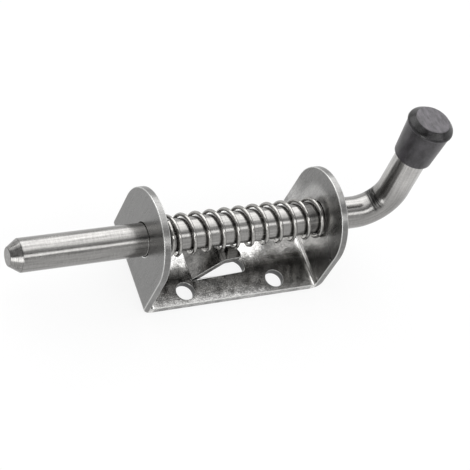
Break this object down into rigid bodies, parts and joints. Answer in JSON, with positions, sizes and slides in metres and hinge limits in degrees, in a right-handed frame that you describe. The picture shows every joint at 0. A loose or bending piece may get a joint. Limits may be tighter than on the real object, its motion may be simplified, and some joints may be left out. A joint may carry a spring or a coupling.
{
  "type": "spring loaded gate latch",
  "caption": "Spring loaded gate latch: a round bolt in a folded U bracket, pushed out by a coil spring and drawn back by a bent, rubber capped handle.",
  "frame": {"origin": "centre of the bracket's mounting face, between its four screw holes", "axes": "+X along the rod from its locking tip to its handle, +Y across the bracket towards the side that the handle leans to, +Z out of the mounting face"},
  "size_m": [0.12, 0.028, 0.053],
  "materials": {
    "bracket_steel": "brushed stainless sheet with bright sheared edges",
    "rod_steel": "polished drawn bar",
    "pin_steel": "turned",
    "washer_steel": "stamped",
    "spring_steel": "drawn spring wire",
    "cap_rubber": "moulded black rubber, satin"
  },
  "bodies": {
    "bracket": {"bracket": "bracket_steel"},
    "carriage": {"thrust_washer": "washer_steel", "return_spring": "spring_steel"},
    "bolt": {"bolt_rod": "rod_steel", "stop_pin": "pin_steel", "grip_cap": "cap_rubber"}
  },
  "joints": [
    {"name": "bolt_slide", "type": "slide", "parent": "bracket", "child": "carriage", "axis": [1, 0, 0], "range_m": [0, 0.029], "stiffness_N_per_m": 1500, "springref_m": -0.008, "deforming": ["return_spring"]},
    {"name": "handle_turn", "type": "hinge", "parent": "carriage", "child": "bolt", "pos_m": [0, 0, 0.016], "axis": [1, 0, 0], "range_deg": [-92, 108]}
  ]
}
